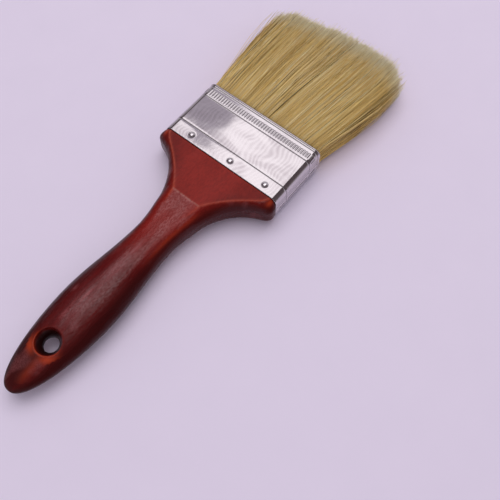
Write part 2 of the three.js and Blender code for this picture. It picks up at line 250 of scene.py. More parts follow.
class Nodes:
    """A node tree, with short calls to add and wire its nodes."""

    def __init__(self, tree):
        self.tree = tree

    def add(self, kind, settings=None, **inputs):
        """A node; an input is a socket to link or a value, and in_0, in_1 name sockets by place."""
        made = self.tree.nodes.new("ShaderNode" + kind)
        for key, value in (settings or {}).items():
            setattr(made, key, value)
        for key, value in inputs.items():
            socket = made.inputs[int(key[3:])] if key.startswith("in_") else made.inputs[key]
            self.wire(value, socket)
        return made

    def wire(self, value, socket):
        if isinstance(value, bpy.types.NodeSocket):
            self.tree.links.new(value, socket)
        else:
            socket.default_value = value

    def math(self, operation, first, second=0.0, clamp=False):
        settings = {"operation": operation, "use_clamp": clamp}
        return self.add("Math", settings, in_0=first, in_1=second).outputs[0]

    def plus(self, first, second, clamp=False):
        return self.math("ADD", first, second, clamp)

    def times(self, first, second, clamp=False):
        return self.math("MULTIPLY", first, second, clamp)

    def rise(self, value, low, high, low_out=0.0, high_out=1.0):
        """value eased from low_out to high_out as it goes from low to high."""
        settings = {"interpolation_type": "SMOOTHSTEP"}
        limits = {"in_1": low, "in_2": high, "in_3": low_out, "in_4": high_out}
        return self.add("MapRange", settings, Value=value, **limits).outputs[0]

    def mix(self, share, first, second):
        """first where share is 0, second where it is 1."""
        settings = {"data_type": "RGBA", "clamp_factor": True}
        return self.add("Mix", settings, in_0=share, in_6=first, in_7=second).outputs[2]

    def ramp(self, value, stops):
        made = self.add("ValToRGB", Fac=value)
        elements = made.color_ramp.elements
        while len(elements) < len(stops):
            elements.new(0.5)
        for element, (place_on_ramp, colour) in zip(elements, stops):
            element.position = place_on_ramp
            element.color = colour
        return made.outputs["Color"]


class Shader(Nodes):
    """One node material for a surface."""

    def __init__(self, name, **constants):
        self.material = bpy.data.materials.new(name)
        self.material.use_nodes = True
        super().__init__(self.material.node_tree)
        self.surface = self.tree.nodes["Principled BSDF"]
        for socket, value in constants.items():
            self.surface.inputs[socket.replace("_", " ")].default_value = value

    def output(self, **sockets):
        """Wires the surface's sockets, and gives the finished material."""
        for key, value in sockets.items():
            self.wire(value, self.surface.inputs[key.replace("_", " ")])
        return self.material

    def position(self, scale):
        """The point on the surface, scaled along each axis, from metres."""
        where = self.add("TexCoord").outputs["Object"]
        return self.add("Mapping", Vector=where, Scale=scale).outputs["Vector"]

    def noise(self, scale, detail=3.0, roughness=0.5, distortion=0.0):
        look = {"Detail": detail, "Roughness": roughness, "Distortion": distortion}
        return self.add("TexNoise", Vector=self.position(scale), Scale=1.0, **look).outputs["Fac"]

    def attribute(self, name):
        return self.add("Attribute", {"attribute_name": name}).outputs["Fac"]

    def bump(self, height, distance, strength=1.0):
        return self.add("Bump", Height=height, Distance=distance, Strength=strength).outputs["Normal"]


def lacquer_red(shader, grain, blotch, pores):
    """The lacquer's colour: brighter on neck and panel, painted shade on flanks and butt, orange where
    worn, a pale line on the crease that is partly a painted highlight.
    """
    fine = shader.rise(grain, 0.3, 0.7)
    grip_red = shader.mix(fine, srgb(84, 10, 11), srgb(105, 14, 14))
    neck_red = shader.mix(fine, srgb(138, 27, 21), srgb(147, 33, 25))
    panel_red = shader.mix(fine, srgb(146, 35, 27), srgb(151, 39, 30))
    red = shader.mix(shader.attribute("neck"), grip_red, neck_red)
    red = shader.mix(shader.attribute("panel"), red, panel_red)
    red = shader.mix(shader.rise(pores, 0.35, 0.6, 0.2, 0.0), red, srgb(52, 9, 10))
    red = shader.mix(shader.rise(blotch, 0.42, 0.7, 0.0, 0.35), red, srgb(96, 20, 14))
    # Painted shade: the flanks darken the more they tilt away from the top.
    red = shader.mix(shader.attribute("flank_painted_shade"), red, srgb(50, 8, 8))
    # Painted shade: the butt end darkens towards its tip and its +Y half.
    red = shader.mix(shader.attribute("butt"), red, srgb(50, 7, 7))
    patchy = shader.rise(blotch, 0.3, 0.6, 0.45, 1.0)
    worn = shader.times(shader.attribute("wear"), patchy, clamp=True)
    red = shader.mix(worn, red, srgb(212, 74, 32))
    # Partly a painted highlight: a pale pink line on the crease and the end of the panel's ridge, where the
    # lacquer is worn too.
    broken = shader.rise(grain, 0.35, 0.6, 0.3, 1.0)
    line = shader.times(shader.attribute("rubbed_and_highlit"), broken, clamp=True)
    return shader.mix(line, red, srgb(178, 104, 92))


def lacquer_scuff_and_sheen(shader, specks):
    """How much scuffing and painted sheen it has: the grip's marks and sheen bands and a few faint patches,
    broken into specks.
    """
    patches = shader.rise(shader.noise((60, 90, 90), detail=2), 0.6, 0.75, 0.0, 0.3)
    zone = shader.math("MAXIMUM", patches, shader.attribute("scuffed_and_sheened"))
    scuff_and_sheen = shader.times(zone, shader.rise(specks, 0.3, 0.6), clamp=True)
    return shader.times(scuff_and_sheen, shader.rise(shader.attribute("panel"), 0.0, 1.0, 1.0, 0.15))


def lacquer():
    """Red-brown lacquer on wood, satin on the panel and glossy on the grip, worn at its edges, with painted
    shade on flanks, butt and hole and a painted sheen and highlight on the grip.
    """
    shader = Shader("handle_lacquer", Specular_IOR_Level=0.17, Coat_Roughness=0.2)
    grain = shader.noise((45, 900, 900), detail=5, roughness=0.6, distortion=0.4)
    blotch = shader.noise((22, 60, 60), detail=2)
    specks = shader.noise((2600, 3400, 3400), detail=2)
    pores = shader.noise((620, 1500, 1500), detail=2)
    waves = shader.noise((60, 190, 190), detail=2)
    panel, butt = shader.attribute("panel"), shader.attribute("butt")

    scuff_and_sheen = lacquer_scuff_and_sheen(shader, specks)
    red = lacquer_red(shader, grain, blotch, pores)
    # Scuffs and a painted sheen: pale pink over the scuff marks and along the grip's front.
    colour = shader.mix(shader.times(scuff_and_sheen, 0.7), red, srgb(192, 112, 114))
    # Painted shade: the wall of the hang hole is darkened almost to black.
    colour = shader.mix(shader.attribute("bore_painted_shade"), colour, srgb(34, 7, 6))

    roughness = shader.rise(panel, 0.0, 1.0, 0.26, 0.5)
    roughness = shader.plus(roughness, shader.rise(blotch, 0.3, 0.7, -0.04, 0.06))
    roughness = shader.plus(roughness, shader.times(scuff_and_sheen, 0.25), clamp=True)
    roughness = shader.plus(roughness, shader.times(butt, 0.1), clamp=True)

    coat = shader.times(shader.rise(pores, 0.38, 0.62, 0.12, 0.5), shader.rise(panel, 0.0, 1.0, 1.0, 0.0))
    coat = shader.times(coat, shader.rise(waves, 0.36, 0.6, 0.35, 1.5), clamp=True)
    dull = shader.math("MAXIMUM", shader.attribute("flank_painted_shade"), butt)
    coat = shader.math("SUBTRACT", coat, dull, clamp=True)

    height = shader.plus(shader.times(waves, 3.6), shader.times(pores, 0.6))
    height = shader.times(height, shader.rise(panel, 0.0, 1.0, 1.0, 0.25))
    height = shader.plus(height, shader.times(specks, 0.05))
    normal = shader.bump(height, 0.00018)
    return shader.output(Base_Color=colour, Roughness=roughness, Coat_Weight=coat, Normal=normal)


def nickel():
    """Bright nickel plate: darker bands painted on the panels as the reflection of faint ripples, a lighter
    painted reflection on the side faces, painted shade in its recesses, scratches and drifts in its polish.
    """
    shader = Shader("ferrule_nickel", Metallic=1.0)
    drift = shader.noise((60, 28, 60), detail=2, distortion=1.5)
    scratches = shader.noise((120, 5200, 5200), detail=3)
    across = shader.noise((4200, 160, 4200), detail=3)
    marks = shader.math("MAXIMUM", shader.rise(scratches, 0.62, 0.72), shader.rise(across, 0.64, 0.74))
    bands = {"wave_type": "BANDS", "bands_direction": "Y"}
    where = shader.position((1, 1, 1))
    wave = shader.add("TexWave", bands, Vector=where, Scale=130.0, Distortion=16.0, Detail=1.0)
    shader.wire(0.55, wave.inputs["Detail Scale"])
    # Painted reflection bands of faint ripples, only on the broad faces.
    ripple_reflection = shader.times(wave.outputs["Fac"], shader.attribute("pressed"))
    ripple_reflection = shader.times(ripple_reflection, shader.rise(drift, 0.3, 0.62, 0.05, 0.5))
    recess_painted_shade = shader.attribute("recess_painted_shade")

    colour = shader.mix(shader.rise(drift, 0.35, 0.7), (0.54, 0.52, 0.53, 1), (0.46, 0.435, 0.45, 1))
    # Painted reflection: wavy darker bands that stand for the reflections of faint ripples.
    colour = shader.mix(ripple_reflection, colour, (0.3, 0.27, 0.285, 1))
    # Painted reflection: the side faces are lightened.
    colour = shader.mix(shader.attribute("side"), colour, (0.66, 0.62, 0.63, 1))
    # Painted shade: grooves, gaps between beads, dashes, rings round the nails and the inside turn nearly
    # black.
    colour = shader.mix(recess_painted_shade, colour, (0.06, 0.055, 0.06, 1))
    roughness = shader.plus(shader.rise(drift, 0.3, 0.7, 0.07, 0.12), shader.times(marks, 0.08))
    roughness = shader.plus(roughness, shader.times(recess_painted_shade, 0.3))
    return shader.output(Base_Color=colour, Roughness=roughness, Normal=shader.bump(marks, 0.00001, 0.25))


def nail_steel():
    """Bright domed heads with a little tarnish."""
    shader = Shader("nail_steel", Metallic=1.0)
    tarnish = shader.noise((900, 900, 900), detail=3)
    colour = shader.mix(shader.rise(tarnish, 0.4, 0.7), (0.82, 0.8, 0.83, 1), (0.52, 0.49, 0.5, 1))
    roughness = shader.rise(tarnish, 0.35, 0.7, 0.13, 0.3)
    return shader.output(Base_Color=colour, Roughness=roughness, Normal=shader.bump(tarnish, 0.00002, 0.3))


def setting_resin():
    """Amber resin with small bubbles, hidden in the ferrule."""
    shader = Shader("setting_resin", Coat_Weight=0.3)
    cloud = shader.noise((160, 160, 160), detail=3)
    cells = shader.add("TexVoronoi", Vector=shader.position((900, 900, 900)), Scale=1.0)
    bubbles = shader.rise(cells.outputs["Distance"], 0.1, 0.35)
    colour = shader.mix(cloud, srgb(120, 84, 34), srgb(168, 128, 62))
    return shader.output(
        Base_Color=colour,
        Roughness=shader.rise(cloud, 0.3, 0.7, 0.25, 0.4),
        Normal=shader.bump(bubbles, 0.0001, 0.4),
    )


def plug_wood():
    """Raw softwood with its grain across the brush, hidden in the ferrule."""
    shader = Shader("plug_wood")
    grain = shader.noise((900, 40, 900), detail=5, roughness=0.65)
    colour = shader.mix(shader.rise(grain, 0.3, 0.7), srgb(222, 190, 142), srgb(176, 132, 84))
    return shader.output(
        Base_Color=colour,
        Roughness=shader.rise(grain, 0.3, 0.7, 0.7, 0.85),
        Normal=shader.bump(grain, 0.0001, 0.6),
    )


# Bristle colours from the darkest hairs to the palest, along the hair and at its split tip.
BRISTLE_STOPS = [
    (0.0, srgb(72, 52, 24)),
    (0.08, srgb(148, 114, 58)),
    (0.32, srgb(235, 200, 118)),
    (0.66, srgb(254, 227, 150)),
    (1.0, srgb(255, 243, 198)),
]
TIP_STOPS = [
    (0.0, srgb(186, 156, 98)),
    (0.45, srgb(255, 244, 200)),
    (1.0, srgb(255, 253, 232)),
]


def packed_bristle():
    """The rooted bristle inside the ferrule, a solid of lengthwise hairs soaked with resin."""
    shader = Shader("bristle_roots")
    strands = shader.noise((40, 3800, 3800), detail=3, roughness=0.7)
    return shader.output(
        Base_Color=shader.ramp(strands, BRISTLE_STOPS),
        Roughness=shader.rise(strands, 0.3, 0.7, 0.45, 0.65),
        Normal=shader.bump(strands, 0.0003, 0.8),
    )


TONE_COLUMNS = 256  # of the hairs' UV map, one for each tone
HAIR_UV = "OFBake"


def hair():
    """Single bristles: each takes its tone from its UV column and grows paler along its length."""
    shader = Shader("bristle", Specular_IOR_Level=0.35)
    uv = shader.add("UVMap", {"uv_map": HAIR_UV}).outputs["UV"]
    parts = shader.add("SeparateXYZ", Vector=uv)
    column = shader.math("FLOOR", shader.times(parts.outputs["X"], TONE_COLUMNS))
    tone = shader.math("DIVIDE", column, TONE_COLUMNS)
    along = parts.outputs["Y"]
    body = shader.ramp(tone, BRISTLE_STOPS)
    rooted = shader.mix(shader.rise(along, 0.0, 0.3, 0.3, 0.0), body, srgb(222, 184, 112))
    colour = shader.mix(shader.rise(along, 0.84, 1.0), rooted, shader.ramp(tone, TIP_STOPS))
    return shader.output(Base_Color=colour, Roughness=shader.rise(along, 0.0, 1.0, 0.42, 0.6))


def floor_paper():
    """Pale lilac table, barely mottled."""
    shader = Shader("floor")
    mottle = shader.noise((40, 40, 40), detail=4)
    return shader.output(
        Base_Color=shader.mix(mottle, srgb(239, 229, 248), srgb(244, 234, 252)),
        Roughness=shader.rise(mottle, 0.3, 0.7, 0.6, 0.7),
    )


def finish(piece, material):
    piece.data.materials.clear()
    piece.data.materials.append(material)


# ---- Handle ----

FLAT_STEPS = np.array([1, 0.99, 0.97, 0.92, 0.82, 0.7, 0.56, 0.42, 0.28, 0.14, 0])
ARC_STEPS = 22
SIDE_STEPS = 3
PANEL_RIDGE = math.radians(70)  # where the side's arc breaks off at the panel's edge
NO_RIDGE = math.radians(90)
RIDGE_FADE = 12  # length behind the crease over which the panel's ridge runs out
CREASE_ROUNDING = 0.25
NECK_POWER = 0.8  # under 1 rounds the neck's section off softly beside its facet
NECK_START_X = -84
NECK_END_X = -46
WIDEST_FLAT_SHARE = 0.975  # of the half width
LEAST_HALF_THICKNESS = 0.4  # at the butt's very end
HOLE_SIDES = 96
HOLE_STEPS = 7
HOLE_FLARE_POWER = 1.25  # over 1 keeps the hole narrow until it nears the rim
FACE_DEPTH = 6  # wear on the front and back keeps further than this from the middle
# Scuff marks and broad bands of painted sheen on the grip's front: middle x and y, half length, half width,
# strength.
SCUFF_AND_SHEEN_MARKS = [
    (-98, 1.2, 5, 1.1, 0.9),
    (-91, -0.8, 3, 0.9, 0.6),
    (-111, 3.0, 4, 0.9, 0.7),
    (-99, 9, 2, 0.7, 0.5),
    (-80, 0, 12, 3.0, 0.5),
    (-66, 0, 5, 0.8, 0.5),
    (-104, 0, 14, 4.5, 0.38),
]


def section(x, half_width, half_thickness, flat, edge_height, ridge, power=1):
    """A ring across the handle at x: flat top and bottom, and sides that curve from ridge to ridge."""
    angle = np.linspace(0, ridge, ARC_STEPS + 1)
    out = np.clip((np.cos(angle) - math.cos(ridge)) / (1 - math.cos(ridge)), 0, 1) ** power
    up = (np.sin(angle) / math.sin(ridge)) ** power
    arc_y = flat + (half_width - flat) * out
    arc_z = half_thickness - edge_height * (1 - up)
    side_z = np.linspace(0, half_thickness - edge_height, SIDE_STEPS, endpoint=False)
    flat_y = flat * FLAT_STEPS[1:]
    y = np.concatenate([np.full(SIDE_STEPS, half_width), arc_y, flat_y])
    z = np.concatenate([side_z, arc_z, np.full(len(flat_y), half_thickness)])
    ring = full_ring(np.column_stack([y, z]))
    return np.column_stack([np.full(len(ring), x), ring])


def handle_outline():
    """Half outline from the ferrule to the butt, rows of x and half width."""
    wide = SHOULDER_HALF_WIDTH
    stretches = [
        ([(-SHOULDER_GAP, SHOULDER_START_HALF_WIDTH), (-1.5, wide - 0.3)], 5),
        ([(-1.5, wide - 0.3), (-2.6, wide), (-3.6, wide)], 8),
        ([(-3.6, wide), (-6.2, wide), (-7.4, 36)], 16),
        ([(-7.4, 36), (-12.6, 21), (-27, 12.6), (-52, 11.3)], 90),
        ([(-52, 11.3), (-70, 11.4), (-82, 15.4), (-102, 15.4)], 60),
        ([(-102, 15.4), (-122, 15.4), (-HANDLE_REACH, 10.8), (-HANDLE_REACH, 0.4)], 84),
    ]
    return np.concatenate([bezier(points, steps)[1:] for points, steps in stretches])


OUTLINE = handle_outline()
FERRULE_FLAT = FERRULE_HALF_WIDTH - FERRULE_CORNER_RADIUS  # half the width of its flat face
PANEL_EDGE = bezier([(0, FERRULE_FLAT), (-5.5, FERRULE_FLAT), (-9, 21), (CREASE_X, CREASE_HALF_WIDTH)], 200)


def half_width_at(x):
    """Half width of the handle's outline."""
    return np.interp(x, OUTLINE[::-1, 0], OUTLINE[::-1, 1])


def half_thickness_at(x):
    """Half thickness along the handle: tail, waist, belly and butt."""
    tail = np.clip((CREASE_X - x) / (CREASE_X - WAIST_X), 0, 1)
    drop = (TAIL_HALF_THICKNESS - WAIST_HALF_THICKNESS) * np.sin(tail * np.pi / 2)
    belly = between(x, WAIST_X, BELLY_X, WAIST_HALF_THICKNESS, BELLY_HALF_THICKNESS)
    t = np.clip((BELLY_X - x) / (HANDLE_REACH + BELLY_X), 0, 1)
    taper = between(x, BELLY_X, -HANDLE_REACH, BELLY_HALF_THICKNESS, BUTT_HALF_THICKNESS)
    butt = taper * np.sqrt(1 - t**BUTT_ROUNDNESS)
    return np.where(x > WAIST_X, TAIL_HALF_THICKNESS - drop, np.where(x > BELLY_X, belly, butt))


def flat_half_width_at(x):
    """Half width of the flat panel, and behind the crease of the facet that runs out on the neck."""
    panel = np.interp(x, PANEL_EDGE[::-1, 0], PANEL_EDGE[::-1, 1])
    facet = between(x, CREASE_X, FACET_END_X, CREASE_HALF_WIDTH, MIN_FLAT)
    return np.minimum(np.where(x > CREASE_X, panel, facet), WIDEST_FLAT_SHARE * half_width_at(x))


def edge_height_at(x, half_thickness):
    """Height of the side's round-over, which grows from the ferrule to the waist."""
    full = half_thickness - np.minimum(MIN_FLAT, half_thickness / 4)
    return between(x, 0, WAIST_X, TAIL_EDGE_HEIGHT, full)


def surface_height_at(x, y):
    """Height of the rounded grip's front above the middle plane."""
    half_width = half_width_at(x)
    half_thickness = half_thickness_at(x)
    flat = np.minimum(flat_half_width_at(x), half_width / 4)
    edge = edge_height_at(x, half_thickness)
    out = np.clip((np.abs(y) - flat) / (half_width - flat), 0, 1)
    return half_thickness - edge * (1 - np.sqrt(1 - out**2))


def hole_cutter():
    """The hang hole: a waist, a flare to each face, and a rounded rim that follows the surface."""
    angle = np.linspace(0, 2 * np.pi, HOLE_SIDES, endpoint=False)
    along, across = np.cos(angle), np.sin(angle)
    lip = HOLE_RIM_RADIUS + HOLE_RIM_ROUNDING
    surface = surface_height_at(HOLE_X + lip * along, lip * across)
    flare_height = surface - HOLE_RIM_ROUNDING - HOLE_WAIST_HALF_HEIGHT
    profile = [(HOLE_WAIST_RADIUS, np.full_like(surface, HOLE_WAIST_HALF_HEIGHT))]
    for share in np.linspace(0.15, 1, HOLE_STEPS)[:-1]:
        radius = HOLE_WAIST_RADIUS + (HOLE_RIM_RADIUS - HOLE_WAIST_RADIUS) * share**HOLE_FLARE_POWER
        profile.append((radius, HOLE_WAIST_HALF_HEIGHT + flare_height * share))
    for turn in np.linspace(0, np.pi / 2, HOLE_STEPS):
        radius = lip - HOLE_RIM_ROUNDING * np.cos(turn)
        profile.append((radius, surface - HOLE_RIM_ROUNDING * (1 - np.sin(turn))))
    profile.append((lip + 0.6, surface + 3))
    upper = [np.column_stack([HOLE_X + r * along, r * across, z]) for r, z in profile]
    lower = [ring * np.array([1, 1, -1]) for ring in reversed(upper)]
    return loft("hole_cutter", lower + upper)


def carve(piece, cutter):
    """Cuts the cutter out of the piece and removes it."""
    modifier = piece.modifiers.new("carve", "BOOLEAN")
    modifier.object = cutter
    modifier.operation = "DIFFERENCE"
    modifier.solver = "EXACT"
    evaluated = piece.evaluated_get(bpy.context.evaluated_depsgraph_get())
    carved = bpy.data.meshes.new_from_object(evaluated)
    piece.modifiers.clear()
    piece.data = carved
    carved.name = piece.name
    carved.shade_smooth()
    bpy.data.objects.remove(cutter)


def scuff_and_sheen_at(x, y):
    """How much of the grip's scuff marks and painted sheen a point has, from 0 to 1."""
    marks = np.zeros_like(x)
    for mark_x, mark_y, half_length, half_width, strength in SCUFF_AND_SHEEN_MARKS:
        away = ((x - mark_x) / half_length) ** 2 + ((y - mark_y) / half_width) ** 2
        marks = np.maximum(marks, strength * np.exp(-away))
    return marks


def rubbed_through(x, y, z, half_width, half_thickness, on_ridge):
    """How far the lacquer is worn, from 0 to 1: ridge, shoulders, neck, hole rim and butt."""
    side, depth = np.abs(y), np.abs(z)
    on_shoulder = bell(x, -2.6, 2.4) * bell(side, 36.2, 1.5) * bell(depth, 7.8, 1.2)
    ferrule_line = bell(x, -0.4, 0.8) * (depth > FACE_DEPTH)

    around = np.arctan2(depth / half_thickness, side / half_width)
    neck = bell(around, 0.85, 0.09) * between(x, -74, NECK_END_X) * between(x, CREASE_X, -36)
    neck *= np.where(y < 0, 1, 0.15)

    from_hole = np.hypot(x - HOLE_X, y)
    bearing = np.abs(np.arctan2(y, x - HOLE_X))
    to_butt = ease((bearing - 1.2) / 0.8)
    rim = bell(from_hole, HOLE_RIM_RADIUS + 0.35, 0.5) * (depth > 5.2) * (0.12 + 0.88 * to_butt)
    halo = bell(bearing, 2.4, 0.5) * bell(from_hole, 8.8, 2) * (depth > 4.5)
    streak = bell(y, -2.5, 2) * between(x, -151, -143) * between(x, -137, -131, 1, 0) * (depth > 3)
    marks = [0.4 * on_ridge, 0.5 * on_shoulder, 0.08 * ferrule_line, 0.3 * neck]
    return np.maximum.reduce([*marks, 0.5 * rim, 0.55 * halo, 0.2 * streak])


def store_wear(piece):
    """Stores the lacquer's zones, its painted shade, sheen and highlight, and how worn it is and where it
    has scuffs, at each point.
    """
    x, y, z = local_points(piece).T
    side, depth = np.abs(y), np.abs(z)
    half_width, half_thickness = np.maximum(half_width_at(x), 0.1), np.maximum(half_thickness_at(x), 0.1)
    flat = flat_half_width_at(x)
    outside = x < 0
    in_hole = ease((HOLE_RIM_RADIUS - np.hypot(x - HOLE_X, y)) / 1.2)

    on_ridge = bell(np.hypot(side - flat, depth - half_thickness), 0, 0.8)
    on_ridge *= between(x, CREASE_X - RIDGE_FADE, CREASE_X)
    crease = bell(x, CREASE_X, 0.45) * (side < CREASE_HALF_WIDTH + 0.4) * (depth > 7)
    on_top = ease((depth - half_thickness + 0.6) / 0.5)
    tilt = np.clip(np.arctan2(side / half_width, depth / half_thickness), 0, None)
    zones = {
        "wear": rubbed_through(x, y, z, half_width, half_thickness, on_ridge) * outside,
        # A pale line, partly a painted highlight, on the crease and the end of the panel's ridge.
        "rubbed_and_highlit": np.maximum(0.75 * crease, 0.25 * on_ridge * between(x, -30, -24)),
        # Scuff marks, and broad bands of painted sheen along the grip's front.
        "scuffed_and_sheened": scuff_and_sheen_at(x, y) * (depth > FACE_DEPTH),
        "panel": on_top * (x > CREASE_X) * ease((flat - side + 0.5) / 0.6),
        "neck": between(x, NECK_START_X, NECK_END_X) * outside,
        # Painted shade on the butt end, towards the tip and the +Y half; it also roughens the lacquer there
        # and takes off the coat.
        "butt": between(x, -122, -134, 0, 0.7) * ease((y + 7) / 7) * outside,
        # Painted shade on the flanks, growing as the surface tilts away from the top; it also takes off the
        # coat.
        "flank_painted_shade": 0.85 * ease((tilt - 0.38) / 0.6) * outside * (1 - in_hole),
        # Painted shade inside the hang hole.
        "bore_painted_shade": in_hole,
    }
    for name, share in zones.items():
        set_attribute(piece, name, share)


def side_power(x):
    """1, or less beside the neck's facet, where the section is softer."""
    if x > WAIST_X:
        return between(x, CREASE_X - RIDGE_FADE, CREASE_X - 4, NECK_POWER, 1)
    return between(x, NECK_START_X, WAIST_X, 1, NECK_POWER)


def grip_ring(x):
    half_width = float(half_width_at(x))
    half_thickness = max(float(half_thickness_at(x)), LEAST_HALF_THICKNESS)
    flat = min(float(flat_half_width_at(x)), half_width - 0.2)
    ridge = between(x, CREASE_X - RIDGE_FADE, CREASE_X, NO_RIDGE, PANEL_RIDGE)
    edge = float(edge_height_at(x, half_thickness))
    return section(x, half_width, half_thickness, flat, edge, ridge, side_power(x))


def tenon_ring(x, inset):
    inset += CAVITY_INSET
    corner = FERRULE_CORNER_RADIUS - inset
    half_width = FERRULE_HALF_WIDTH - inset
    return section(x, half_width, FERRULE_HALF_THICKNESS - inset, half_width - corner, corner, NO_RIDGE)


def make_handle():
    crease = [CREASE_X + offset for offset in (-CREASE_ROUNDING, 0, CREASE_ROUNDING)]
    stations = np.sort(np.concatenate([OUTLINE[:, 0], crease]))
    rings = [grip_ring(x) for x in stations]
    rings += [tenon_ring(x, 0) for x in (-SHOULDER_GAP, TENON_LENGTH - TENON_CHAMFER)]
    rings.append(tenon_ring(TENON_LENGTH, TENON_CHAMFER))
    handle = loft("handle_lacquered", rings)
    carve(handle, hole_cutter())
    store_wear(handle)
    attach(handle, BODY)
    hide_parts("handle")
    finish(handle, lacquer())


# ---- Ferrule ----

BEADS_PER_QUARTER = 27
COLUMNS_PER_BEAD = 8
BEAD_HEIGHT = 0.17
BEAD_BAND = (31.1, 35.0)
GROOVE_CENTRES = (9.2, 29.8, 37.2)
GROOVE_DEPTH = 0.16
GROOVE_HALF_WIDTH = 0.45
LIP_START = 1.6  # before the mouth
LIP_RISE = 0.5  # length over which the lip comes up
LIP_ROLL = 0.6
LIP_ROLL_LENGTH = 1.05
EDGE_BREAK = 0.12
EDGE_BREAK_LENGTH = 0.3
LAP_BAND = (-4.2, -1.2)  # z
LAP_ENDS = (0.8, 38)  # x
LAP_HEIGHT = 0.3
DASH_BAND = (-3.1, -2.1)  # z of the pressed dashes on the lap
DASHES = ((3.2, 7.4), (11.5, 27.7), (31.2, 34.8))  # x
DASH_DEPTH = 0.28
DIMPLE_RADIUS = 2.7  # of the dent around each nail
DIMPLE_DEPTH = 0.22
CROWN = 0.12  # how far the broad faces bulge in the middle
WAVINESS = 0.015  # how far the broad faces wander from flat
NEAREST_STATIONS = 0.055
NAILS = [f"nail_{side}_{number}" for side in ("front", "back") for number in (1, 2, 3)]


def middle_of(node):
    """The middle of a CAD node's box, in local millimetres."""
    low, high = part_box(node)
    return unplace((low + high) / 2)


def ferrule_quarter():
    """Rows of y, z and the outward normal's y, z for a quarter of the ferrule's section."""
    radius = FERRULE_CORNER_RADIUS
    side = FERRULE_HALF_THICKNESS - radius
    arc = radius * np.pi / 2
    length = side + arc + FERRULE_FLAT
    s = np.linspace(0, length, BEADS_PER_QUARTER * COLUMNS_PER_BEAD + 1)
    angle = np.clip((s - side) / radius, 0, np.pi / 2)
    y = FERRULE_FLAT + radius * np.cos(angle) - np.maximum(s - side - arc, 0)
    z = np.minimum(s, side) + radius * np.sin(angle)
    return np.column_stack([y, z]), np.column_stack([np.cos(angle), np.sin(angle)])


def plateau(value, low, high, edge):
    """1 between low and high, easing to 0 over the edge width on both sides."""
    return ease((value - low + edge) / edge) * ease((high + edge - value) / edge)


def grooves(x):
    """Depth share of the three pressed lines."""
    nearest = np.min([np.abs(x - centre) for centre in GROOVE_CENTRES], axis=0)
    return 0.5 + 0.5 * np.cos(np.pi * np.clip(nearest / GROOVE_HALF_WIDTH, 0, 1))


def dashes(x, z):
    """Depth share of the pressed dashes."""
    along = np.max([plateau(x, *ends, 0.3) for ends in DASHES], axis=0)
    return along * plateau(z, *DASH_BAND, 0.2)


def dimples(x, y, z):
    """Depth share of the dents round the nails, and share of the painted shade round their heads."""
    share, painted_shade = np.zeros_like(y), np.zeros_like(y)
    for node in NAILS:
        nail_x, nail_y, nail_z = middle_of(node)
        away = np.hypot(x - nail_x, y - nail_y)
        same_face = z * nail_z > 0
        share += np.clip(1 - (away / DIMPLE_RADIUS) ** 2, 0, 1) ** 2 * same_face
        # Painted shade: a dark ring round each nail head.
        painted_shade = np.maximum(painted_shade, 0.7 * bell(away, NAIL_HEAD_RADIUS, 0.3) * same_face)
    return share, painted_shade


def waviness(x, y, z):
    """Slow random-looking waves, different on the front and the back."""
    side = np.sign(z)
    waves = np.sin(x / 4.6 + y / 6.3 + side) + np.sin(y / 4.1 - x / 7.9 + 2 * side)
    return waves + 0.7 * np.sin(x / 2.9 + y / 13)


def ferrule_relief(x, y, z, normal_y, normal_z, bead_phase):
    """How far the sheet stands out of its plain rounded section, and how much painted shade it gets in its
    grooves, bead gaps and dashes and round the nails.
    """
    x = np.full_like(y, x)
    on_lap_side = normal_y < -0.99
    broad = np.abs(normal_z) > 0.99
    groove = grooves(x)
    in_band = plateau(x, BEAD_BAND[0] + 0.4, BEAD_BAND[1] - 0.4, 0.5)
    bead = np.clip(0.5 - 0.8 * np.cos(2 * np.pi * bead_phase), 0, 1)
    lap = plateau(z, *LAP_BAND, 0.22) * plateau(x, *LAP_ENDS, 0.25) * on_lap_side
    dash = dashes(x, z) * on_lap_side
    dimple, nail_ring_shade = dimples(x, y, z)

    relief = BEAD_HEIGHT * bead * in_band + LAP_HEIGHT * lap
    relief -= GROOVE_DEPTH * groove + DASH_DEPTH * dash + DIMPLE_DEPTH * dimple * broad
    relief += LIP_HEIGHT * ease((x - FERRULE_LENGTH + LIP_START) / LIP_RISE)
    relief -= LIP_ROLL * np.clip((x - FERRULE_LENGTH + LIP_ROLL_LENGTH) / LIP_ROLL_LENGTH, 0, 1) ** 2
    relief -= EDGE_BREAK * ease((EDGE_BREAK_LENGTH - x) / EDGE_BREAK_LENGTH)
    relief += WAVINESS * waviness(x, y, z) * normal_z**2
    relief += CROWN * (1 - (y / FERRULE_HALF_WIDTH) ** 2) * normal_z**2
    # Painted shade in the grooves, between the beads, in the dashes and round the nail heads.
    painted_shade = np.maximum.reduce([0.85 * groove**2, 0.3 * (1 - bead) * in_band, dash, nail_ring_shade * broad])
    return relief, painted_shade


def ferrule_stations():
    """Where rings stand along the ferrule: closer together at what is pressed into it."""
    stations = [
        np.linspace(0, FERRULE_LENGTH, 46),
        np.linspace(0, EDGE_BREAK_LENGTH, 4),
        np.linspace(1.5, 6.9, 13),
        np.linspace(BEAD_BAND[0] - 0.1, BEAD_BAND[1] + 0.1, 13),
        FERRULE_LENGTH - np.linspace(0, 1.7, 18),
    ]
    stations += [centre + GROOVE_HALF_WIDTH * np.linspace(-1, 1, 7) for centre in GROOVE_CENTRES]
    stations += [end + np.array([-0.15, 0.15]) for ends in DASHES for end in ends]
    merged = np.unique(np.round(np.concatenate(stations), 2))
    spaced = [merged[0]]
    for x in merged[1:]:
        if x - spaced[-1] > NEAREST_STATIONS:
            spaced.append(x)
    spaced[-1] = FERRULE_LENGTH
    return np.array(spaced)


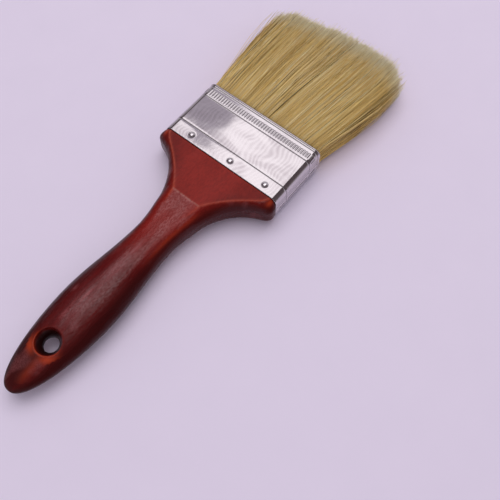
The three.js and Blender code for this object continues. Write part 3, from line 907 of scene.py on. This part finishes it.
def make_ferrule():
    ring, normal = [full_ring(quarter) for quarter in ferrule_quarter()]
    y, z = ring.T
    phase = np.arange(len(ring)) / COLUMNS_PER_BEAD
    rings, painted_shades = [], []
    for x in ferrule_stations():
        relief, painted_shade = ferrule_relief(x, y, z, normal[:, 0], normal[:, 1], phase)
        rings.append(np.column_stack([np.full_like(y, x), ring + normal * relief[:, None]]))
        painted_shades.append(painted_shade)
    for x in (FERRULE_LENGTH - 0.1, FERRULE_LENGTH / 2, 0.05):
        rings.append(np.column_stack([np.full_like(y, x), ring - normal * SHEET]))
        # Painted shade on the inside of the sheet.
        painted_shades.append(np.full_like(y, 0.5))
    rings = np.array(rings)
    faces = lathe_faces(*rings.shape[:2], True)
    ferrule = new_piece("ferrule_pressed", rings.reshape(-1, 3), faces)
    set_attribute(ferrule, "recess_painted_shade", np.concatenate(painted_shades))
    # Where the painted reflection bands go: the broad faces on the handle side of the beads.
    on_panel = ease((BEAD_BAND[0] - rings[:, :, 0]) / 1.5) * normal[:, 1] ** 2
    set_attribute(ferrule, "pressed", on_panel.ravel())
    # Where the side faces get their lighter painted reflection.
    set_attribute(ferrule, "side", np.tile(normal[:, 0] ** 2, len(rings)))
    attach(ferrule, BODY)
    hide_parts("ferrule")
    finish(ferrule, nickel())


# ---- Nails ----


def nail_profile():
    """Rows of radius and height above the head's underside, from the point to the crown."""
    rows = [
        (0.03, -NAIL_LENGTH),
        (NAIL_SHANK_RADIUS, NAIL_POINT - NAIL_LENGTH),
        (NAIL_SHANK_RADIUS, -0.25),
        (NAIL_SHANK_RADIUS + 0.15, -0.05),
        (NAIL_HEAD_RADIUS - 0.12, 0),
        (NAIL_HEAD_RADIUS, 0.08),
    ]
    dome = NAIL_HEAD_HEIGHT - NAIL_RIM_HEIGHT
    for share in np.linspace(0.97, 0.02, 14):
        rows.append((NAIL_HEAD_RADIUS * share, NAIL_RIM_HEIGHT + dome * (1 - share**2)))
    return rows


def make_nail(node, material):
    x, y, z = middle_of(node)
    up = 1 if z > 0 else -1
    angle = np.linspace(0, 2 * np.pi, NAIL_COLUMNS, endpoint=False)
    seat = FERRULE_HALF_THICKNESS + NAIL_HEAD_GAP
    rings = []
    for radius, height in nail_profile():
        ring_x, ring_y = x + radius * np.cos(angle), y + up * radius * np.sin(angle)
        rings.append(np.column_stack([ring_x, ring_y, np.full_like(angle, up * (seat + height))]))
    nail = loft(node + "_bright", rings)
    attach(nail, BODY)
    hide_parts(node)
    finish(nail, material)


def make_nails():
    steel = nail_steel()
    for node in NAILS:
        make_nail(node, steel)


# ---- Bristle ----

HAIR_COLUMNS = 290  # across the width of one bank
HAIR_ROWS = 17  # through its thickness
HAIR_ROOT_X = 33.5
HAIR_STATIONS = np.array([0, 0.14, 0.32, 0.5, 0.68, 0.86, 1])
HAIR_SIDES = 3
HAIR_RADIUS = 0.145
HAIR_TIP_SHARE = 0.4
PACK_HALF_WIDTH = 36.9
PACK_HALF_THICKNESS = 7.45
PACK_CORNER = 3.2
FREE_LENGTH = (cad_high.x - hinge.x) / MM
BULGE = 0.85  # how much thicker the pack is at its fullest than at the mouth, each side
TIP_THINNING = 2.2
FLARE_PLUS = 5.6  # how much wider it is at the tips, on the +Y side
FLARE_MINUS = 8.6
TIP_DOME = 2.5  # how much shorter the hairs on the front and back are than the middle ones
WIDEST = 46.8  # no hair reaches further to either side
LOOSE_FROM = 0.94  # loose hairs stand off only outside this share of the half width
SIDE_SHADE = 0.22  # how much darker the outermost hairs are
FIRST_SEED = 40
BANKS = {"front": (3.0, PACK_HALF_THICKNESS), "middle": (-2.9, 2.9), "back": (-PACK_HALF_THICKNESS, -3.0)}
# Partings on the surface: place across the width at the mouth and at the tips, half opening in
# millimetres, and where along the free length each opens and closes.
PARTINGS = [
    (-0.02, -0.30, 0.5, 0.0, 0.55),
    (-0.50, -0.66, 0.28, 0.15, 0.5),
    (0.22, 0.14, 0.2, 0.1, 0.45),
    (-0.72, -0.80, 0.3, 0.3, 0.8),
]


def spread(u, share):
    """Half width of the flaring pack on the hair's own side, at a share of the free length."""
    plus = PACK_HALF_WIDTH + FLARE_PLUS * share
    minus = PACK_HALF_WIDTH + FLARE_MINUS * (1 - (1 - share) ** 2)
    return np.where(u > 0, plus, minus)


def trim(u):
    """How far short of the full reach the domed trim stops, across the width."""
    plus_side = 4.5 * ease((u - 0.05) / 0.5) + 9 * np.clip((u - 0.72) / 0.28, 0, 1) ** 2
    minus_side = 14 * np.clip((-u - 0.6) / 0.4, 0, 1) ** 1.9
    uneven = 0.35 * np.sin(9 * u + 1) + 0.25 * np.sin(23 * u)
    return plus_side + minus_side + uneven


def streaks(rng, u, v, share, wavelength, drift):
    """A smooth random field that runs along the hairs, from a few waves across the width."""
    field = np.zeros(np.broadcast(u, share).shape)
    for _ in range(4):
        waves = PACK_HALF_WIDTH / wavelength * rng.uniform(0.7, 1.4)
        phase, lean, deep = rng.uniform(0, 2 * np.pi), rng.normal(0, drift), rng.uniform(-2.5, 2.5)
        field = field + np.sin(2 * np.pi * waves * u + lean * share + deep * v + phase)
    return field / 2


def hair_roots(rng, low_z, high_z):
    """Where one bank's hairs start: from -1 to 1 across the width, and the height in millimetres."""
    cell = np.arange(HAIR_COLUMNS * HAIR_ROWS)
    column = cell % HAIR_COLUMNS + rng.uniform(0, 1, cell.size)
    row = cell // HAIR_COLUMNS + rng.uniform(0, 1, cell.size)
    u = (column / HAIR_COLUMNS * 2 - 1)[:, None]
    depth = (row / HAIR_ROWS)[:, None]
    out = np.clip(np.abs(u) * PACK_HALF_WIDTH - PACK_HALF_WIDTH + PACK_CORNER, 0, PACK_CORNER)
    tallest = PACK_HALF_THICKNESS - PACK_CORNER + np.sqrt(PACK_CORNER**2 - out**2)
    return u, np.clip(low_z + (high_z - low_z) * depth, -tallest, tallest)


def hair_ends(rng, u, v):
    """Where each hair ends: mostly near the trim, with some well short of it and a few past it."""
    is_short = rng.random(u.shape) < 0.35
    short = np.where(is_short, rng.exponential(5.5, u.shape), rng.exponential(1.8, u.shape))
    long = (rng.random(u.shape) < 0.25) * rng.exponential(1.6, u.shape)
    end = FERRULE_LENGTH + FREE_LENGTH - trim(u) - np.minimum(short, 34) + np.minimum(long, 5)
    return end + rng.normal(0, 0.7, u.shape) - TIP_DOME * np.abs(v) ** 2.5


def partings(u, v, share):
    """How far the partings push each hair aside, and whether it lies shaded at the bottom of one."""
    push, shade = np.zeros_like(u * share), np.zeros_like(u)
    surface = np.clip(np.abs(v) * 1.6 - 0.5, 0, 1)
    for mouth_u, tip_u, half_gap, start, finish_share in PARTINGS:
        middle_share = (start + finish_share) / 2
        line = mouth_u + (tip_u - mouth_u) * middle_share
        away = (u - line) * spread(u, middle_share)
        window = np.sin(np.pi * np.clip((share - start) / (finish_share - start), 0, 1)) ** 0.8
        lean_with = (tip_u - mouth_u) * PACK_HALF_WIDTH * (share - middle_share) * 0.6
        opening = half_gap * np.sign(away) * np.exp(-np.abs(away) / 3.2) * window
        push += (opening + lean_with * np.exp(-np.abs(away) / 7)) * surface
        shade = np.maximum(shade, (np.abs(away) < 0.45 * half_gap) * surface)
    return push, shade


def hair_tones(rng, u, v, shade, crossing):
    """Each hair's tone, from 0, dark, to 1, pale."""
    tone = 0.52 + 0.07 * streaks(rng, u, v, 0, 1.3, 0) + 0.035 * streaks(rng, u, v, 0, 8, 0)
    tone = tone + rng.normal(0, 0.17, u.shape)
    tone = tone - 0.25 * (rng.random(u.shape) < 0.08) + 0.4 * (rng.random(u.shape) < 0.08) - 0.6 * shade
    tone = tone + 0.35 * crossing * (rng.random(u.shape) < 0.5)
    tone = tone - SIDE_SHADE * ease((np.abs(u) - 0.88) / 0.1)
    return np.clip(tone[:, 0], 0, 0.999)


def hair_paths(rng, low_z, high_z):
    """Centre lines of one bank's hairs, and their tones."""
    u, z_root = hair_roots(rng, low_z, high_z)
    v = z_root / PACK_HALF_THICKNESS
    x = HAIR_ROOT_X + (hair_ends(rng, u, v) - HAIR_ROOT_X) * HAIR_STATIONS
    share = np.clip((x - FERRULE_LENGTH) / FREE_LENGTH, 0, 1.05)

    lean = rng.normal(0, 1.1, u.shape) * share**1.2 + rng.normal(0, 0.3, u.shape) * np.sin(np.pi * share)
    crossing = rng.random(u.shape) < 0.2
    stray = crossing * rng.normal(0, 3.4, u.shape) * share**1.2
    loose = (rng.random(u.shape) < 0.22) * (np.abs(u) > LOOSE_FROM) * rng.uniform(1, 6, u.shape)
    y = u * spread(u, share) + lean + stray + np.sign(u) * loose * share**1.4
    y += 0.1 * share**0.4 * streaks(rng, u, v, share, 3.4, 2.2)
    y += 0.4 * share * streaks(rng, u, v, share, 11, 2.0)
    push, shade = partings(u, v, share)
    y = np.clip(y + push, -WIDEST, WIDEST)

    swell = 1 + (BULGE / PACK_HALF_THICKNESS) * np.sin(np.pi * np.clip(share / 0.64, 0, 1))
    thin = 1 - TIP_THINNING / PACK_HALF_THICKNESS * ease((share - 0.35) / 0.65)
    z = z_root * swell * thin + rng.normal(0, 0.3, u.shape) * share**1.2
    z += 0.16 * share**0.5 * streaks(rng, u, v, share, 2.6, 2.5) * np.abs(v)
    z -= 0.35 * shade * np.sign(v)
    z = np.clip(z, -FERRULE_HALF_THICKNESS - 0.35, FERRULE_HALF_THICKNESS + 0.45)
    return np.stack([x, y, z], axis=-1), hair_tones(rng, u, v, shade, crossing)


def hair_uv(tone):
    """UV corners of all the sides, then of all the caps: u in the tone's column, v along the hair."""
    left = (np.floor(tone * TONE_COLUMNS) + 0.15) / TONE_COLUMNS
    right = left + 0.7 / TONE_COLUMNS
    segment = np.arange((len(HAIR_STATIONS) - 1) * HAIR_SIDES) // HAIR_SIDES
    low, high = HAIR_STATIONS[segment], HAIR_STATIONS[segment + 1]
    shape = (len(tone), len(segment), 4)
    side_u = np.broadcast_to(np.stack([left, right, right, left], axis=-1)[:, None], shape)
    side_v = np.broadcast_to(np.stack([low, low, high, high], axis=-1), shape)
    cap_u = np.stack([left, right, right, left, right, right], axis=-1)
    cap_v = np.broadcast_to(np.array([0.004, 0.004, 0, 0.996, 0.996, 1]), cap_u.shape)
    sides, caps = np.stack([side_u, side_v], axis=-1), np.stack([cap_u, cap_v], axis=-1)
    return np.concatenate([sides.reshape(-1, 2), caps.reshape(-1, 2)])


def hair_mesh(name, rng, paths, tone):
    """Closed three-sided tubes along the paths, with one UV column for each tone."""
    count, stations = paths.shape[:2]
    thickness = HAIR_RADIUS * rng.uniform(0.8, 1.15, (count, 1))
    taper = 1 - (1 - HAIR_TIP_SHARE) * HAIR_STATIONS**1.8
    radius = (thickness * taper)[:, :, None]
    turn = rng.uniform(0, 2 * np.pi, (count, 1, 1)) + np.arange(HAIR_SIDES) * 2 * np.pi / HAIR_SIDES
    ring = np.stack([np.zeros_like(radius * turn), radius * np.cos(turn), radius * np.sin(turn)], axis=-1)
    points = (paths[:, :, None, :] + ring).reshape(-1, 3)

    per_hair = stations * HAIR_SIDES
    first = (np.arange(count) * per_hair)[:, None, None]
    last = per_hair - HAIR_SIDES
    quads = first + lathe_faces(stations, HAIR_SIDES, False)
    triangles = first + np.array([[2, 1, 0], [last, last + 1, last + 2]])
    piece = new_piece(name, points, quads, triangles)
    layer = piece.data.uv_layers.new(name=HAIR_UV)
    layer.data.foreach_set("uv", hair_uv(tone).astype(np.float32).ravel())
    return piece


def make_bristle():
    material = hair()
    start = hinge.copy()
    for number, (bank, (low_z, high_z)) in enumerate(BANKS.items()):
        rng = np.random.default_rng(FIRST_SEED + number)
        paths, tone = hair_paths(rng, low_z, high_z)
        piece = hair_mesh(f"bristles_{bank}", rng, paths, tone)
        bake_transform(piece)
        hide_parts(f"bristle_bank_{bank}")
        finish(piece, material)


# ---- Hidden pieces, kept as CAD nodes ----


def finish_hidden():
    nodes, wood, roots = frame["nodes"], plug_wood(), packed_bristle()
    finish(nodes["resin_setting"], setting_resin())
    for side in ("front", "back"):
        finish(nodes[f"spacer_plug_{side}"], wood)
    for bank in BANKS:
        finish(nodes[f"bristle_roots_{bank}"], roots)


# ---- Stage ----

# The photo's camera, solved from the ruler and the ferrule's rectangle, in metres and degrees.
CAMERA_AT = (-0.11873, -0.12922, 0.30241)
CAMERA_TURN = (25.242, 0.005, -51.227)
CAMERA_LENS = 45.36
FLOOR_REACH = 4
LIGHT_AT = (1.35, 0.75, 3)
LIGHT_SIZE = (3.7, 2.7)
LIGHT_RADIANCE = 1.56
LIGHT_COLOUR = (1.0, 0.955, 0.985)
FILL = (0.45, 0.43, 0.47, 1)
SURROUNDINGS = (0.13, 0.1, 0.11, 1)
PALE_SURROUNDINGS = (0.5, 0.46, 0.5, 1)
BACKDROP = (0.62, 0.57, 0.68, 1)
GREY_CARD_HEIGHT = 0.5
GREY_CARD_GLOW = 0.48
# The grey card that shows in the left third of the ferrule, in metres, seen from above.
GREY_CARD = [
    (0.45, 0.256), (0.33, 0.26), (0.29, 0.25), (0.272, 0.262), (0.262, 0.252), (0.248, 0.264),
    (0.252, 0.28), (0.268, 0.284), (0.266, 0.31), (0.27, 0.42), (0.45, 0.42),
]


def add_card(name, border, material):
    """A flat piece of the stage, by the points of its border in metres."""
    mesh = bpy.data.meshes.new(name)
    mesh.from_pydata(border, [], [range(len(border))])
    mesh.materials.append(material)
    card = add_object(name, mesh)
    return card


def smooth_border(outline, height):
    """A level border at a height that rounds off the outline's points."""
    points = np.array(outline)
    before, after = np.roll(points, 1, axis=0), np.roll(points, -1, axis=0)
    corners = [bezier([(p + a) / 2, p, (p + b) / 2], 8)[:-1] for a, p, b in zip(before, points, after)]
    return [(x, y, height) for x, y in np.concatenate(corners)]


def grey_diffuser():
    """Grey cloth that glows with the light behind it."""
    shader = Shader("grey_card", Roughness=0.9, Emission_Strength=GREY_CARD_GLOW)
    shade = shader.noise((6, 6, 6), detail=2)
    return shader.output(
        Base_Color=shader.mix(shade, srgb(150, 146, 150), srgb(170, 166, 170)),
        Emission_Color=shader.mix(shade, srgb(200, 194, 199), srgb(220, 213, 219)),
    )


def studio_world():
    """Dim surroundings, paler low down to both ends of the brush, and a pale backdrop behind the floor."""
    world = bpy.data.worlds.new("studio")
    world.use_nodes = True
    nodes = Nodes(world.node_tree)
    direction = nodes.add("SeparateXYZ", in_0=nodes.add("TexCoord").outputs["Generated"])
    x, y, z = direction.outputs
    to_ends = nodes.times(nodes.math("ABSOLUTE", x), 1.4)
    raised = nodes.times(nodes.times(z, z), 1.5)
    paler = nodes.math("SUBTRACT", nodes.plus(to_ends, nodes.times(y, 0.2)), raised)
    around = nodes.mix(nodes.rise(paler, 0.28, 0.55), SURROUNDINGS, PALE_SURROUNDINGS)
    ray = nodes.add("LightPath").outputs
    seen = nodes.mix(ray["Is Glossy Ray"], FILL, around)
    seen = nodes.mix(ray["Is Camera Ray"], seen, BACKDROP)
    nodes.wire(seen, world.node_tree.nodes["Background"].inputs["Color"])
    return world


def add_ceiling_light():
    light = bpy.data.lights.new("ceiling_light", "AREA")
    light.shape = "RECTANGLE"
    light.size, light.size_y = LIGHT_SIZE
    light.energy = LIGHT_RADIANCE * math.pi * math.prod(LIGHT_SIZE)
    light.color = LIGHT_COLOUR
    add_object("ceiling_light", light).location = LIGHT_AT


def add_camera():
    camera = bpy.data.cameras.new("camera")
    camera.lens = CAMERA_LENS
    camera.sensor_width = 36
    camera.clip_start = 0.01
    view = add_object("camera", camera)
    view.location = CAMERA_AT
    view.rotation_euler = [math.radians(angle) for angle in CAMERA_TURN]
    bpy.context.scene.camera = view


def make_stage():
    floor = [(FLOOR_REACH * x, FLOOR_REACH * y, 0) for x, y in ((-1, -1), (1, -1), (1, 1), (-1, 1))]
    add_card("floor", floor, floor_paper())
    grey = add_card("grey_card", smooth_border(GREY_CARD, GREY_CARD_HEIGHT), grey_diffuser())
    grey.visible_camera = grey.visible_diffuse = grey.visible_shadow = False
    add_ceiling_light()
    add_camera()
    bpy.context.scene.world = studio_world()
    bpy.context.scene.view_settings.view_transform = "Standard"


make_stage()
make_handle()
make_ferrule()
make_nails()
make_bristle()
finish_hidden()
